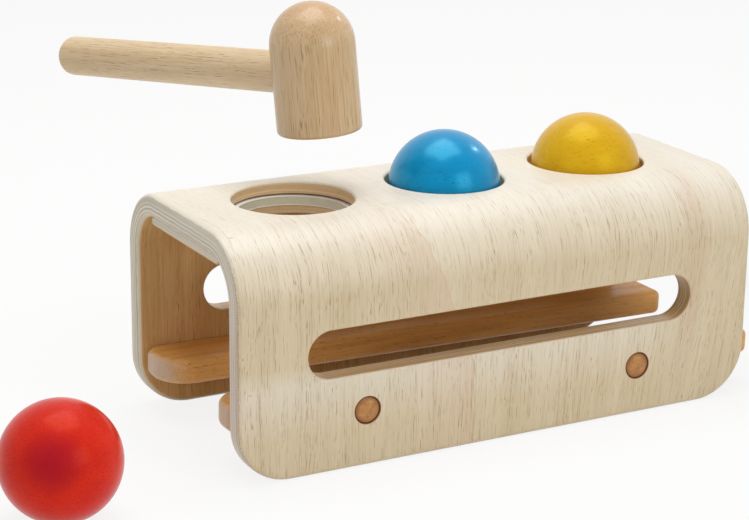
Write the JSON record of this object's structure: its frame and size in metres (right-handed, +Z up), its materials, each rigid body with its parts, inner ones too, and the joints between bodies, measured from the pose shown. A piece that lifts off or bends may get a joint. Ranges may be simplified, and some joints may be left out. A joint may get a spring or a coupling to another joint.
{
  "type": "ball pounding bench",
  "caption": "Bent-plywood bench with round holes for wooden balls, rubber grip rings, rails inside that the pounded balls roll out on, and a wooden mallet.",
  "frame": {"origin": "on the floor under the middle of the bench", "axes": "+Z up, +X along the bench to the right, +Y towards its back"},
  "size_m": [0.3662, 0.2376, 0.1864],
  "materials": {
    "bent_plywood": "clear matt lacquer on pale veneer",
    "retainer_wood": "sanded board",
    "grip_rubber": "moulded, matt",
    "rail_wood": "planed and oiled hardwood",
    "peg_wood": "turned, end grain shown",
    "blue_stain": "semi-gloss stain",
    "yellow_stain": "semi-gloss stain",
    "red_stain": "semi-gloss stain",
    "mallet_head_wood": "turned and lacquered",
    "mallet_handle_wood": "turned and lacquered"
  },
  "bodies": {
    "bench": {"bench_body": "bent_plywood", "retainer_board": "retainer_wood", "left_grip_ring": "grip_rubber", "middle_grip_ring": "grip_rubber", "right_grip_ring": "grip_rubber", "front_rail": "rail_wood", "back_rail": "rail_wood", "front_left_peg": "peg_wood", "front_right_peg": "peg_wood", "back_left_peg": "peg_wood", "back_right_peg": "peg_wood"},
    "blue_ball": {"blue_ball": "blue_stain"},
    "yellow_ball": {"yellow_ball": "yellow_stain"},
    "red_ball": {"red_ball": "red_stain"},
    "mallet": {"mallet_head": "mallet_head_wood", "mallet_handle": "mallet_handle_wood"}
  },
  "joints": [
    {"name": "blue_ball_drop", "type": "slide", "parent": "bench", "child": "blue_ball", "axis": [0, 0, -1], "range_m": [-0.03, 0.05848], "deforming": ["middle_grip_ring"]},
    {"name": "yellow_ball_drop", "type": "slide", "parent": "bench", "child": "yellow_ball", "axis": [0, 0, -1], "range_m": [-0.03, 0.05969], "deforming": ["right_grip_ring"]},
    {"name": "red_ball_roll", "type": "slide", "parent": "bench", "child": "red_ball", "axis": [1, 0, 0], "range_m": [-0.1, 0.04]},
    {"name": "mallet_stroke", "type": "slide", "parent": "bench", "child": "mallet", "axis": [0, 0, -1], "range_m": [-0.08, 0.0238]}
  ]
}
